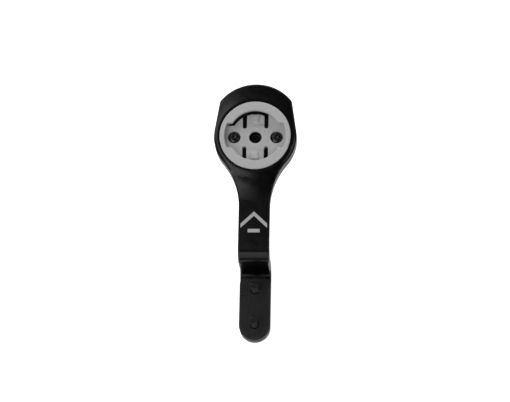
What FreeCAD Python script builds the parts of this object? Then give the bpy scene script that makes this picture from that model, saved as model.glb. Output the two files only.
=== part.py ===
import FreeCAD, Part
import math
import os
import re
import Sketcher
from FreeCAD import Vector

# Out-front mount for a quarter-turn handlebar computer, millimetres.
# Row frame: the origin is on the face that meets the handlebar, midway between the two bolts.
# +X is the rider's right, +Y is forward, +Z is up.
# The head's own frame sits on the insert's axis at the top of its ring.

# How a sketch names its own axes and origin, and the places on a curve
HORIZONTAL_AXIS = -1
VERTICAL_AXIS = -2
ORIGIN_POINT = (HORIZONTAL_AXIS, 1)
START, END, MIDDLE = 1, 2, 3

# Shares of a screw's own sizes
HEAD_FLAT = 0.45
HEAD_BAND = 0.2
TIP_CHAMFER = 0.2
STAMPED_EDGE = 0.3

SCOOP_TURN = 150.0
SAME = 1e-4
ROUNDING = 1e-6
LEAST_CUT = 1e-3

# alias, value, what it is
SIZES = [
    ("reach", 84.0, "bolt pattern centre to insert axis, along Y"),
    ("rise", 23.0, "handlebar seat up to the top of the insert ring"),
    ("insert_radius", 18.0, "outer radius of the moulded insert"),
    ("insert_depth", 7.0, "height of the moulded insert"),
    ("pocket_gap", 0.05, "radial gap between the insert and its pocket"),
    ("rim_drop", 0.5, "ring top down to the rim of the head"),
    ("rim_radius", 19.0, "outer radius of the raised rim"),
    ("rim_step", 0.65, "height of the raised rim"),
    ("rim_flare", 1.1, "width of the slope round the raised rim"),
    ("crown_slope", 8.0, "fall of the turned top of the head, degrees"),
    ("crown_reach", 29.0, "radius out to which the top is turned"),
    ("head_radius", 21.0, "radius of the round part of the head"),
    ("head_taper", 8.7, "how far the nose sides lean in, degrees"),
    ("corner_radius", 3.5, "vertical corners of the nose"),
    ("nose_radius", 22.6, "front face of the nose, in plan"),
    ("nose_reach", 28.4, "insert axis to the front of the nose"),
    ("neck_radius", 36.8, "hollow sides of the neck, in plan"),
    ("blade_width", 15.7, "width of blade, riser and foot"),
    ("blade_drop", 4.4, "ring top down to the top of the blade"),
    ("belly_drop", 10.8, "ring top down to the underside"),
    ("scoop_start", 21.8, "insert axis to the top of the scoop"),
    ("scoop_reach", 33.8, "insert axis to the end of the scoop"),
    ("scoop_radius", 38.3, "hollow of the scoop, in profile"),
    ("bend_start", 57.2, "insert axis to the start of the bend"),
    ("bend_radius", 7.5, "outside of the bend above the riser"),
    ("bend_inside", 6.0, "inside of the bend above the riser"),
    ("riser_thick", 6.4, "thickness of the riser"),
    ("heel_inside", 3.0, "inside of the bend at the foot"),
    ("heel_radius", 9.0, "outside of the bend at the foot"),
    ("foot_thick", 6.0, "thickness of the foot"),
    ("foot_overhang", 16.7, "bolt pattern centre to the end of the foot"),
    ("edge_chamfer", 0.7, "chamfer on the upper edges"),
    ("belly_chamfer", 2.0, "chamfer on the lower edges"),
    ("bolt_spacing", 18.0, "between the two foot bolts"),
    ("bolt_hole_radius", 2.25, "clearance hole for M4"),
    ("bolt_sink_radius", 4.7, "counterbore for washer and head"),
    ("bolt_sink_depth", 3.2, "depth of that counterbore"),
    ("bolt_radius", 2.0, "M4"),
    ("bolt_neck_radius", 1.75, "plain neck, as thick as the thread's middle"),
    ("bolt_length", 16.0, "under the head"),
    ("bolt_head_radius", 3.8, "M4 button head"),
    ("bolt_head_height", 2.2, "M4 button head"),
    ("bolt_key", 2.5, "across the flats of the key"),
    ("bolt_key_depth", 1.3, "depth of the key socket"),
    ("bolt_pilot_radius", 1.15, "drilled point at the bottom of the key socket"),
    ("washer_radius", 4.5, "M4 washer"),
    ("washer_hole_radius", 2.15, "M4 washer"),
    ("washer_thick", 0.8, "M4 washer"),
    ("spacer_thick", 2.5, "moulded spacer under the handlebar"),
    ("spacer_front", 15.3, "bolt pattern centre to the spacer's front"),
    ("spacer_corner", 3.0, "front corners of spacer and pad"),
    ("pad_thick", 1.0, "rubber pad under the handlebar"),
    ("pad_inset", 0.3, "pad edge inside the spacer edge"),
    ("screw_offset", 10.75, "insert axis to each insert screw"),
    ("screw_radius", 1.5, "M3"),
    ("screw_neck_radius", 1.35, "plain neck, as thick as the thread's middle"),
    ("screw_length", 5.0, "under the head"),
    ("screw_head_radius", 3.05, "M3 raised head"),
    ("screw_head_height", 1.65, "M3 raised head"),
    ("screw_key", 2.0, "across the flats of the key"),
    ("screw_key_depth", 1.04, "depth of the key socket"),
    ("screw_pilot_radius", 0.9, "drilled point at the bottom of the key socket"),
    ("drill_slope", 30.0, "fall of a drilled point, degrees"),
    ("screw_tap_radius", 1.55, "tapped hole in the head"),
    ("screw_hole_radius", 1.65, "clearance hole in the insert"),
    ("screw_sink_radius", 3.25, "counterbore in the insert"),
    ("screw_sink_depth", 5.4, "ring top down to the screw seat"),
    ("mouth_radius", 13.3, "inside of the lip"),
    ("notch_radius", 15.6, "outer end of the wing notches"),
    ("notch_half", 6.6, "half the width of the wing notches"),
    ("floor_drop", 3.5, "ring top down to the floor"),
    ("lip_thick", 1.6, "thickness of the lip"),
    ("floor_radius", 12.35, "edge of the floor along the open gap"),
    ("gap_end", 6.1, "where the open gap starts beside a notch"),
    ("slot_offset", 5.5, "middle of each slot"),
    ("slot_radius", 1.075, "half the width of each slot"),
    ("slot_root", 5.775, "centre of each slot's round end"),
    ("bay_reach", 13.0, "outer end of the tongue bay"),
    ("hub_hole_radius", 3.25, "hole in the middle of the floor"),
    ("hub_relief_radius", 5.0, "relief under the floor round that hole"),
    ("floor_thick", 1.6, "floor left above the relief"),
    ("tongue_gap", 0.12, "gap at the root of a tongue"),
    ("tongue_thick", 1.6, "thickness of a tongue"),
    ("tongue_corner", 0.8, "corners of a tongue's tip"),
    ("ridge_start", 7.7, "inner end of the detent ridge"),
    ("ridge_end", 12.3, "outer end of the detent ridge"),
    ("ridge_height", 0.7, "height of the detent ridge"),
    ("ridge_inner_half", 1.65, "half width of the ridge's inner end"),
    ("ridge_outer_half", 2.45, "half width of the ridge's outer end"),
    ("ridge_bevel", 0.65, "how far the ridge's flanks lean in"),
    ("notch_fillet", 0.5, "corners where a notch meets the mouth"),
    ("cut_margin", 2.0, "how far a cut's outline runs past the metal"),
    ("scoop_margin", 5.0, "how far the scoop's outline runs past its end"),
    ("ring_fillet", 0.35, "outer edge of the ring"),
    ("lip_fillet", 0.25, "inner edge of the lip"),
]

SIZE = {alias: value for alias, value, _ in SIZES}
CELLS = {alias: f"Sizes.{alias}" for alias in SIZE}

doc = FreeCAD.newDocument("computer_mount")


def make_sheet():
    sheet = doc.addObject("Spreadsheet::Sheet", "Sizes")
    for row, (alias, value, note) in enumerate(SIZES, start=1):
        sheet.set(f"A{row}", note)
        sheet.set(f"B{row}", str(value))
        sheet.setAlias(f"B{row}", alias)
    doc.recompute()
    return sheet


def cell(expression):
    """Turn words such as "rise + pad_thick" into an expression on the sheet."""
    return re.sub("[a-z_]+", lambda word: CELLS.get(word.group(), word.group()), expression)


# Sketches


def new_body(name, place=("0", "0", "0")):
    """A body named after its piece, at a place given as three expressions."""
    body = doc.addObject("PartDesign::Body", name)
    body.Label = name
    for axis, expression in zip("xyz", place):
        body.setExpression(f"Placement.Base.{axis}", cell(expression))
    return body


def origin_plane(body, role):
    return [feature for feature in body.Origin.OriginFeatures if feature.Role == role][0]


def new_sketch(body, name, role="XY_Plane", lift=None):
    """An empty sketch on one of the body's own origin planes, lifted along its normal."""
    sketch = body.newObject("Sketcher::SketchObject", name)
    sketch.AttachmentSupport = [(origin_plane(body, role), "")]
    sketch.MapMode = "FlatFace"
    if lift:
        sketch.setExpression("AttachmentOffset.Base.z", cell(lift))
    return sketch


def present_size(sketch, kind, items):
    """The value that a dimension has as the sketch is drawn."""
    if kind == "Radius":
        return sketch.Geometry[items[0]].Radius
    if kind == "Angle":
        side = sketch.Geometry[items[0]]
        return math.atan2(side.EndPoint.y - side.StartPoint.y, side.EndPoint.x - side.StartPoint.x)
    first = sketch.getPoint(items[0], items[1])
    second = sketch.getPoint(items[2], items[3])
    return second.x - first.x if kind == "DistanceX" else second.y - first.y


def bind(sketch, kind, *items, size):
    """Add a dimension to a sketch and bind it to the sheet."""
    value = present_size(sketch, kind, items)
    index = sketch.addConstraint(Sketcher.Constraint(kind, *items, value))
    sketch.setExpression(f"Constraints[{index}]", cell(size))


def pin_to_axis(sketch, point, axis):
    """Keep a point on an axis of the sketch, or on another of its lines."""
    sketch.addConstraint(Sketcher.Constraint("PointOnObject", *point, axis))


def pin_to_origin(sketch, point):
    sketch.addConstraint(Sketcher.Constraint("Coincident", *point, *ORIGIN_POINT))


class Outline:
    """A closed chain of lines and arcs, drawn from point to point."""

    def __init__(self, sketch, x, y):
        self.sketch = sketch
        self.pen = Vector(x, y, 0)
        self.tail = None
        self.head = None

    def join(self, geometry, tail, head, smooth):
        index = self.sketch.addGeometry(geometry, False)
        if self.head:
            self.meet(self.head, (index, tail), smooth)
        self.tail = self.tail or (index, tail)
        self.head = (index, head)
        return index

    def meet(self, before, after, smooth):
        kind = "Tangent" if smooth else "Coincident"
        self.sketch.addConstraint(Sketcher.Constraint(kind, *before, *after))

    def line(self, x, y, smooth=False, free=False):
        """A straight run. Level and upright runs are kept so, unless the run is free."""
        target = Vector(x, y, 0)
        index = self.join(Part.LineSegment(self.pen, target), START, END, smooth)
        if not free and abs(self.pen.y - y) < ROUNDING:
            self.sketch.addConstraint(Sketcher.Constraint("Horizontal", index))
        if not free and abs(self.pen.x - x) < ROUNDING:
            self.sketch.addConstraint(Sketcher.Constraint("Vertical", index))
        self.pen = target
        return index

    def arc(self, x, y, centre_x, centre_y, turn, smooth=True):
        """An arc about a centre. A turn of 1 is anticlockwise, -1 is clockwise."""
        centre = Vector(centre_x, centre_y, 0)
        target = Vector(x, y, 0)
        circle = Part.Circle(centre, Vector(0, 0, 1), (self.pen - centre).Length)
        angles = [math.atan2(end.y - centre_y, end.x - centre_x) for end in (self.pen, target)]
        if turn < 0:
            angles.reverse()
        if angles[1] <= angles[0]:
            angles[1] += 2 * math.pi
        tail, head = (START, END) if turn > 0 else (END, START)
        index = self.join(Part.ArcOfCircle(circle, *angles), tail, head, smooth)
        self.pen = target
        return index

    def close(self, smooth=False):
        self.meet(self.head, self.tail, smooth)


def add_circle(sketch, radius, size, x=0.0, y=0.0):
    """A circle whose centre is still to be placed, unless it is at the origin."""
    index = sketch.addGeometry(Part.Circle(Vector(x, y, 0), Vector(0, 0, 1), radius), False)
    bind(sketch, "Radius", index, size=size)
    if x == 0.0 and y == 0.0:
        pin_to_origin(sketch, (index, MIDDLE))
    return index


def add_circle_pair(sketch, radius, size, offset, offset_size, along):
    """Two circles the same distance either side of the origin, along X or Y."""
    axis = {"X": HORIZONTAL_AXIS, "Y": VERTICAL_AXIS}[along]
    for side in (-1, 1):
        place = {along.lower(): side * offset}
        index = add_circle(sketch, radius, size, **place)
        pin_to_axis(sketch, (index, MIDDLE), axis)
        ends = [ORIGIN_POINT, (index, MIDDLE)]
        if side < 0:
            ends.reverse()
        bind(sketch, f"Distance{along}", *ends[0], *ends[1], size=offset_size)


# Features


def add_feature(body, kind, name, **settings):
    feature = body.newObject(f"PartDesign::{kind}", name)
    for key, value in settings.items():
        setattr(feature, key, value)
    return feature


def pad(body, sketch, name, length, **settings):
    feature = add_feature(body, "Pad", name, Profile=sketch, **settings)
    feature.setExpression("Length", cell(length))
    sketch.Visibility = False
    doc.recompute()
    return feature


def must_remove(body, before, name):
    """A cut that points away from the solid removes nothing and shows no error."""
    doc.recompute()
    if body.Shape.Volume > before - LEAST_CUT:
        raise RuntimeError(f"{name} removes nothing")


def pocket(body, sketch, name, depth=None, **settings):
    """A pocket to a depth from the sheet, or through everything."""
    before = body.Shape.Volume
    feature = add_feature(body, "Pocket", name, Profile=sketch, **settings)
    if depth:
        feature.setExpression("Length", cell(depth))
    else:
        feature.Type = "ThroughAll"
    must_remove(body, before, name)
    return feature


def revolve(body, sketch, name, kind="Revolution", angle=360.0, **settings):
    before = body.Shape.Volume if kind == "Groove" else None
    axis = (sketch, ["V_Axis"])
    feature = add_feature(
        body, kind, name, Profile=sketch, ReferenceAxis=axis, Angle=angle, **settings
    )
    doc.recompute()
    if kind == "Groove":
        must_remove(body, before, name)
    return feature


def half_turn_pattern(body, sketch, name, originals):
    """The same features again, half a turn round the sketch's normal."""
    before = body.Shape.Volume
    feature = add_feature(
        body,
        "PolarPattern",
        name,
        Originals=originals,
        Axis=(sketch, ["N_Axis"]),
        Angle=360.0,
        Occurrences=2,
    )
    body.Tip = feature
    must_remove(body, before, name)
    return feature


def dress(body, kind, name, base, edges, size):
    """A chamfer or fillet on some edges of the last feature."""
    if not edges:
        raise RuntimeError(f"{name} found no edges")
    feature = add_feature(body, kind, name, Base=(base, edges))
    feature.setExpression("Size" if kind == "Chamfer" else "Radius", cell(size))
    doc.recompute()
    return feature


def edges_where(shape, test):
    return [f"Edge{index}" for index, edge in enumerate(shape.Edges, start=1) if test(edge)]


def middle_of(edge):
    return edge.valueAt((edge.FirstParameter + edge.LastParameter) / 2)


def is_circle_of(edge, radius, height):
    """Is this edge part of a level circle about the Z axis?"""
    curve = edge.Curve
    if not isinstance(curve, Part.Circle):
        return False
    on_axis = math.hypot(curve.Center.x, curve.Center.y) < SAME
    return on_axis and abs(curve.Radius - radius) < SAME and abs(curve.Center.z - height) < SAME


# The arm: profile, plan, turned top, scoop, pockets, chamfers


def arm_profile(body):
    """Side view of the blank, forward to the right, with the ring top as zero."""
    s = SIZE
    top = -s["rim_drop"]
    blade = -s["blade_drop"]
    belly = -s["belly_drop"]
    front = s["crown_reach"]
    back = -s["reach"] - s["foot_overhang"]
    foot_top = -s["rise"] - s["pad_thick"] - s["spacer_thick"]
    foot_bottom = foot_top - s["foot_thick"]
    bend = -s["bend_start"]
    rear_face = bend - s["bend_radius"]
    front_face = rear_face + s["riser_thick"]
    step = -s["scoop_reach"] - s["cut_margin"]

    sketch = new_sketch(body, "SideProfile", "YZ_Plane")
    path = Outline(sketch, front, top)
    crown = path.line(step, top)
    drop = path.line(step, blade)
    flat = path.line(bend, blade)
    outer = path.arc(rear_face, blade - s["bend_radius"], bend, blade - s["bend_radius"], 1)
    path.line(rear_face, foot_top + s["heel_inside"], smooth=True)
    inner_heel = path.arc(
        rear_face - s["heel_inside"],
        foot_top,
        rear_face - s["heel_inside"],
        foot_top + s["heel_inside"],
        -1,
    )
    tread = path.line(back, foot_top, smooth=True)
    path.line(back, foot_bottom)
    sole = path.line(front_face - s["heel_radius"], foot_bottom)
    heel = path.arc(
        front_face,
        foot_bottom + s["heel_radius"],
        front_face - s["heel_radius"],
        foot_bottom + s["heel_radius"],
        1,
    )
    riser = path.line(front_face, belly - s["bend_inside"], smooth=True)
    inner = path.arc(
        front_face + s["bend_inside"],
        belly,
        front_face + s["bend_inside"],
        belly - s["bend_inside"],
        -1,
    )
    path.line(front, belly, smooth=True)
    nose = path.line(front, top)
    path.close()

    bind(sketch, "DistanceY", crown, START, *ORIGIN_POINT, size="rim_drop")
    bind(sketch, "DistanceX", *ORIGIN_POINT, nose, END, size="crown_reach")
    bind(sketch, "DistanceX", drop, END, *ORIGIN_POINT, size="scoop_reach + cut_margin")
    bind(sketch, "DistanceY", flat, START, *ORIGIN_POINT, size="blade_drop")
    bind(sketch, "DistanceX", flat, END, *ORIGIN_POINT, size="bend_start")
    bind(sketch, "Radius", outer, size="bend_radius")
    bind(sketch, "Radius", inner_heel, size="heel_inside")
    bind(sketch, "DistanceY", tread, END, *ORIGIN_POINT, size="rise + pad_thick + spacer_thick")
    bind(sketch, "DistanceX", tread, END, *ORIGIN_POINT, size="reach + foot_overhang")
    bind(sketch, "DistanceY", sole, START, tread, END, size="foot_thick")
    bind(sketch, "Radius", heel, size="heel_radius")
    bind(sketch, "DistanceX", outer, END, riser, END, size="riser_thick")
    bind(sketch, "Radius", inner, size="bend_inside")
    bind(sketch, "DistanceY", nose, START, *ORIGIN_POINT, size="belly_drop")
    return sketch


def plan_scrap(body):
    """Plan view of what is milled off the right of the blank: all outside the outline."""
    s = SIZE
    lean = math.radians(s["head_taper"])
    half = s["blade_width"] / 2
    head = s["head_radius"]
    nose = s["nose_radius"]
    nose_centre = s["nose_reach"] - nose
    corner = s["corner_radius"]
    neck = s["neck_radius"]
    neck_x = half + neck
    neck_y = -math.sqrt((head + neck) ** 2 - neck_x**2)
    foot_y = -s["reach"] - s["foot_overhang"] + half

    # The corner arc touches the leaning side and the front arc from inside
    reach = nose - corner
    inset = head - corner
    toward = nose_centre * math.sin(lean)
    along = nose_centre * math.cos(lean) + math.sqrt(reach**2 - (inset - toward) ** 2)
    corner_x = inset * math.cos(lean) - along * math.sin(lean)
    corner_y = inset * math.sin(lean) + along * math.cos(lean)
    front_x = corner_x * nose / reach
    front_y = nose_centre + (corner_y - nose_centre) * nose / reach

    margin = s["cut_margin"]
    right = s["crown_reach"]
    front = s["crown_reach"] + margin
    back = -s["reach"] - s["foot_overhang"] - margin
    apex = s["nose_reach"]
    end = -s["reach"] - s["foot_overhang"]

    sketch = new_sketch(body, "PlanScrap", "XY_Plane", "crown_reach")
    path = Outline(sketch, 0, apex)
    front_arc = path.arc(front_x, front_y, 0, nose_centre, -1, smooth=False)
    corner_arc = path.arc(
        corner_x + corner * math.cos(lean),
        corner_y + corner * math.sin(lean),
        corner_x,
        corner_y,
        -1,
    )
    side = path.line(head * math.cos(lean), head * math.sin(lean), smooth=True)
    round_arc = path.arc(
        neck_x * head / (head + neck), neck_y * head / (head + neck), 0, 0, -1
    )
    neck_arc = path.arc(half, neck_y, neck_x, neck_y, 1)
    edge = path.line(half, foot_y, smooth=True)
    foot_arc = path.arc(0, end, 0, foot_y, -1)
    tail = path.line(0, back)
    path.line(right, back)
    flank = path.line(right, front)
    path.line(0, front)
    path.line(0, apex)
    path.close()

    pin_to_axis(sketch, (front_arc, MIDDLE), VERTICAL_AXIS)
    pin_to_axis(sketch, (front_arc, END), VERTICAL_AXIS)
    bind(sketch, "DistanceY", *ORIGIN_POINT, front_arc, END, size="nose_reach")
    bind(sketch, "Radius", front_arc, size="nose_radius")
    bind(sketch, "Radius", corner_arc, size="corner_radius")
    bind(sketch, "Angle", side, size="(head_taper - 90) * 1 deg")
    pin_to_origin(sketch, (round_arc, MIDDLE))
    bind(sketch, "Radius", round_arc, size="head_radius")
    bind(sketch, "Radius", neck_arc, size="neck_radius")
    bind(sketch, "DistanceX", *ORIGIN_POINT, edge, END, size="blade_width / 2")
    pin_to_axis(sketch, (foot_arc, MIDDLE), VERTICAL_AXIS)
    pin_to_axis(sketch, (foot_arc, START), VERTICAL_AXIS)
    bind(sketch, "DistanceY", foot_arc, START, *ORIGIN_POINT, size="reach + foot_overhang")
    bind(sketch, "DistanceX", *ORIGIN_POINT, flank, END, size="crown_reach")
    bind(sketch, "DistanceY", *ORIGIN_POINT, flank, END, size="crown_reach + cut_margin")
    bind(sketch, "DistanceY", tail, END, *ORIGIN_POINT, size="reach + foot_overhang + cut_margin")
    return sketch


def rim_profile(body):
    """Half section of what is turned off outside the rim: a slope, then a shallow cone."""
    s = SIZE
    rim = s["rim_radius"]
    ledge = -s["rim_drop"] - s["rim_step"]
    foot = rim + s["rim_flare"]
    reach = s["crown_reach"] + s["cut_margin"]
    fall = (reach - foot) * math.tan(math.radians(s["crown_slope"]))

    sketch = new_sketch(body, "RimProfile", "YZ_Plane")
    path = Outline(sketch, rim, 0)
    wall = path.line(rim, -s["rim_drop"])
    path.line(foot, ledge)
    cone = path.line(reach, ledge - fall)
    path.line(reach, 0)
    path.line(rim, 0)
    path.close()
    bind(sketch, "DistanceX", *ORIGIN_POINT, wall, START, size="rim_radius")
    bind(sketch, "DistanceX", *ORIGIN_POINT, cone, START, size="rim_radius + rim_flare")
    bind(sketch, "DistanceY", cone, START, wall, END, size="rim_step")
    bind(sketch, "DistanceY", cone, START, *ORIGIN_POINT, size="rim_drop + rim_step")
    bind(sketch, "DistanceX", *ORIGIN_POINT, cone, END, size="crown_reach + cut_margin")
    bind(sketch, "Angle", cone, size="-crown_slope * 1 deg")
    pin_to_axis(sketch, (wall, START), HORIZONTAL_AXIS)
    return sketch


def scoop_profile(body):
    """Half section of the hollow behind the head, down to the top of the blade."""
    s = SIZE
    start = s["scoop_start"]
    foot = s["rim_radius"] + s["rim_flare"]
    shoulder = -s["rim_drop"] - s["rim_step"]
    shoulder -= (start - foot) * math.tan(math.radians(s["crown_slope"]))
    blade = -s["blade_drop"]
    end = s["scoop_reach"]
    outer = end + s["scoop_margin"]

    # Centre of the hollow: above the chord from the shoulder to the blade
    chord = math.hypot(end - start, shoulder - blade)
    rise = math.sqrt(s["scoop_radius"] ** 2 - chord**2 / 4)
    centre_x = -(start + end) / 2 - rise * (shoulder - blade) / chord
    centre_y = (shoulder + blade) / 2 + rise * (end - start) / chord

    sketch = new_sketch(body, "ScoopProfile", "YZ_Plane")
    path = Outline(sketch, -start, 0)
    wall = path.line(-start, shoulder)
    hollow = path.arc(-end, blade, centre_x, centre_y, -1, smooth=False)
    path.line(-outer, blade)
    back = path.line(-outer, 0)
    path.line(-start, 0)
    path.close()
    bind(sketch, "DistanceX", wall, END, *ORIGIN_POINT, size="scoop_start")
    drop = "rim_drop + rim_step + (scoop_start - rim_radius - rim_flare) * tan(crown_slope * 1 deg)"
    bind(sketch, "DistanceY", wall, END, *ORIGIN_POINT, size=drop)
    bind(sketch, "Radius", hollow, size="scoop_radius")
    bind(sketch, "DistanceX", hollow, START, *ORIGIN_POINT, size="scoop_reach")
    bind(sketch, "DistanceY", hollow, START, *ORIGIN_POINT, size="blade_drop")
    bind(sketch, "DistanceX", back, START, *ORIGIN_POINT, size="scoop_reach + scoop_margin")
    pin_to_axis(sketch, (back, END), HORIZONTAL_AXIS)
    return sketch


def is_outline_wall(face):
    """Is this face one of the upright faces of the plan outline?"""
    s = SIZE
    surface = face.Surface
    if isinstance(surface, Part.Plane):
        return abs(surface.Axis.z) < ROUNDING and abs(surface.Axis.x) > 0.5
    if not isinstance(surface, Part.Cylinder) or abs(surface.Axis.z) < 0.999:
        return False
    names = ("head_radius", "neck_radius", "nose_radius", "corner_radius")
    radii = [s[name] for name in names] + [s["blade_width"] / 2]
    return any(abs(surface.Radius - radius) < SAME for radius in radii)


def outline_edges(shape, upper):
    """Edges where the outline's walls meet the upper side, or the underside."""
    names = []
    for index, edge in enumerate(shape.Edges, start=1):
        faces = shape.ancestorsOfType(edge, Part.Face)
        walls = [face for face in faces if is_outline_wall(face)]
        others = [face for face in faces if not is_outline_wall(face)]
        if len(walls) != 1 or len(others) != 1:
            continue
        u, v = others[0].Surface.parameter(middle_of(edge))
        normal = others[0].normalAt(u, v)
        if (normal.z - normal.y > 0) == upper:
            names.append(f"Edge{index}")
    return names


def make_arm():
    body = new_body("mount_arm", ("0", "reach", "rise"))
    pad(body, arm_profile(body), "Blank", "2 * crown_reach", Midplane=True)
    milled = pocket(body, plan_scrap(body), "MilledRight")
    mirror = add_feature(body, "Mirrored", "MilledLeft", Originals=[milled])
    mirror.MirrorPlane = (origin_plane(body, "YZ_Plane"), [""])
    body.Tip = mirror
    doc.recompute()
    revolve(body, rim_profile(body), "TurnedTop", "Groove")
    scoop = revolve(body, scoop_profile(body), "Scoop", "Groove", SCOOP_TURN, Midplane=True)
    belly = outline_edges(scoop.Shape, upper=False)
    lower = dress(body, "Chamfer", "BellyChamfer", scoop, belly, "belly_chamfer")
    top = outline_edges(lower.Shape, upper=True)
    dress(body, "Chamfer", "EdgeChamfer", lower, top, "edge_chamfer")

    seat = new_sketch(body, "PocketCircle")
    radius = SIZE["insert_radius"] + SIZE["pocket_gap"]
    add_circle(seat, radius, "insert_radius + pocket_gap")
    pocket(body, seat, "InsertPocket", "insert_depth")

    taps = new_sketch(body, "ScrewHoles")
    offset = SIZE["screw_offset"]
    add_circle_pair(taps, SIZE["screw_tap_radius"], "screw_tap_radius", offset, "screw_offset", "X")
    pocket(body, taps, "TappedHoles")

    drill_foot(body, "BoltHoles", "bolt_hole_radius", None)
    drill_foot(body, "BoltSinks", "bolt_sink_radius", "bolt_sink_depth")
    return body


def drill_foot(body, name, radius, depth):
    """Two holes in the foot, upwards from its underside."""
    sole = "-rise - pad_thick - spacer_thick - foot_thick"
    sketch = new_sketch(body, name + "Circles", "XY_Plane", sole)
    for side, place in ((1, "reach - bolt_spacing / 2"), (-1, "reach + bolt_spacing / 2")):
        y = -SIZE["reach"] + side * SIZE["bolt_spacing"] / 2
        circle = add_circle(sketch, SIZE[radius], radius, y=y)
        pin_to_axis(sketch, (circle, MIDDLE), VERTICAL_AXIS)
        bind(sketch, "DistanceY", circle, MIDDLE, *ORIGIN_POINT, size=place)
    if depth:
        pocket(body, sketch, name, depth, Reversed=True)
        return
    before = body.Shape.Volume
    feature = add_feature(body, "Pocket", name, Profile=sketch, Reversed=True)
    feature.setExpression("Length", cell("foot_thick + cut_margin"))
    must_remove(body, before, name)


# The moulded insert and its two tongues


def gap_outline(body):
    """The open gap under the front left of the lip, from the notch round to the right slot."""
    s = SIZE
    outer = s["notch_radius"]
    inner = s["floor_radius"]
    end = s["gap_end"]
    right = s["slot_offset"] + s["slot_radius"]
    sketch = new_sketch(body, "GapOutline", "XY_Plane", "-lip_thick")
    path = Outline(sketch, right, math.sqrt(inner**2 - right**2))
    side = path.line(right, math.sqrt(outer**2 - right**2))
    wall = path.arc(-math.sqrt(outer**2 - end**2), end, 0, 0, 1, smooth=False)
    path.line(-math.sqrt(inner**2 - end**2), end)
    edge = path.arc(right, math.sqrt(inner**2 - right**2), 0, 0, -1, smooth=False)
    path.close()
    pin_to_origin(sketch, (wall, MIDDLE))
    pin_to_origin(sketch, (edge, MIDDLE))
    bind(sketch, "Radius", wall, size="notch_radius")
    bind(sketch, "Radius", edge, size="floor_radius")
    bind(sketch, "DistanceX", *ORIGIN_POINT, side, START, size="slot_offset + slot_radius")
    bind(sketch, "DistanceY", *ORIGIN_POINT, wall, END, size="gap_end")
    return sketch


def bay_outline(body):
    """The front tongue's bay: two slots with round inner ends and the room between them."""
    offset = SIZE["slot_offset"]
    near = offset - SIZE["slot_radius"]
    far = offset + SIZE["slot_radius"]
    root = SIZE["slot_root"]
    reach = SIZE["bay_reach"]
    sketch = new_sketch(body, "BayOutline", "XY_Plane", "-lip_thick")
    path = Outline(sketch, far, root)
    right = path.line(far, reach)
    path.line(-far, reach)
    path.line(-far, root)
    left_end = path.arc(-near, root, -offset, root, 1)
    back = path.line(near, root)
    right_end = path.arc(far, root, offset, root, 1, smooth=False)
    path.close(smooth=True)
    bind(sketch, "Radius", left_end, size="slot_radius")
    bind(sketch, "Radius", right_end, size="slot_radius")
    for end, ends in ((left_end, 1), (right_end, -1)):
        points = [(end, MIDDLE), ORIGIN_POINT][::ends]
        bind(sketch, "DistanceX", *points[0], *points[1], size="slot_offset")
    bind(sketch, "DistanceY", *ORIGIN_POINT, right, START, size="slot_root")
    bind(sketch, "DistanceY", *ORIGIN_POINT, right, END, size="bay_reach")
    pin_to_axis(sketch, (left_end, MIDDLE), back)
    return sketch


def notch_outline(body):
    """Both wing notches as one band right across the mouth."""
    s = SIZE
    half = s["notch_half"]
    reach = math.sqrt(s["notch_radius"] ** 2 - half**2)
    sketch = new_sketch(body, "NotchOutline")
    path = Outline(sketch, -reach, -half)
    path.line(reach, -half)
    right = path.arc(reach, half, 0, 0, 1, smooth=False)
    path.line(-reach, half)
    left = path.arc(-reach, -half, 0, 0, 1, smooth=False)
    path.close()
    for end in (right, left):
        pin_to_origin(sketch, (end, MIDDLE))
        bind(sketch, "Radius", end, size="notch_radius")
    bind(sketch, "DistanceY", *ORIGIN_POINT, right, END, size="notch_half")
    bind(sketch, "DistanceY", right, START, *ORIGIN_POINT, size="notch_half")
    return sketch


def make_insert():
    body = new_body("twist_lock_insert", ("0", "reach", "rise"))
    ring = new_sketch(body, "RingCircle")
    add_circle(ring, SIZE["insert_radius"], "insert_radius")
    pad(body, ring, "Ring", "insert_depth", Reversed=True)

    mouth = new_sketch(body, "MouthCircle")
    add_circle(mouth, SIZE["mouth_radius"], "mouth_radius")
    pocket(body, mouth, "Mouth", "floor_drop")
    pocket(body, notch_outline(body), "WingNotches", "floor_drop")

    gap = gap_outline(body)
    gap_cut = pocket(body, gap, "UnderLipGap")
    half_turn_pattern(body, gap, "UnderLipGaps", [gap_cut])
    bay = bay_outline(body)
    bay_cut = pocket(body, bay, "TongueBay")
    half_turn_pattern(body, bay, "TongueBays", [bay_cut])

    hub = new_sketch(body, "HubCircle")
    add_circle(hub, SIZE["hub_hole_radius"], "hub_hole_radius")
    pocket(body, hub, "HubHole")
    relief = new_sketch(body, "HubReliefCircle", lift="-insert_depth")
    add_circle(relief, SIZE["hub_relief_radius"], "hub_relief_radius")
    under_floor = "insert_depth - floor_drop - floor_thick"
    pocket(body, relief, "HubRelief", under_floor, Reversed=True)
    offset = SIZE["screw_offset"]
    for name, radius, depth in (
        ("ScrewSinks", "screw_sink_radius", "screw_sink_depth"),
        ("ScrewHoles", "screw_hole_radius", None),
    ):
        circles = new_sketch(body, name + "Circles")
        add_circle_pair(circles, SIZE[radius], radius, offset, "screw_offset", "X")
        last = pocket(body, circles, name, depth)

    corners = edges_where(last.Shape, is_notch_corner)
    eased = dress(body, "Fillet", "NotchFillet", last, corners, "notch_fillet")
    rim = edges_where(eased.Shape, lambda edge: is_circle_of(edge, SIZE["insert_radius"], 0))
    ring_round = dress(body, "Fillet", "RingFillet", eased, rim, "ring_fillet")
    lip = edges_where(ring_round.Shape, is_lip_edge)
    dress(body, "Fillet", "LipFillet", ring_round, lip, "lip_fillet")
    return body


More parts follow.
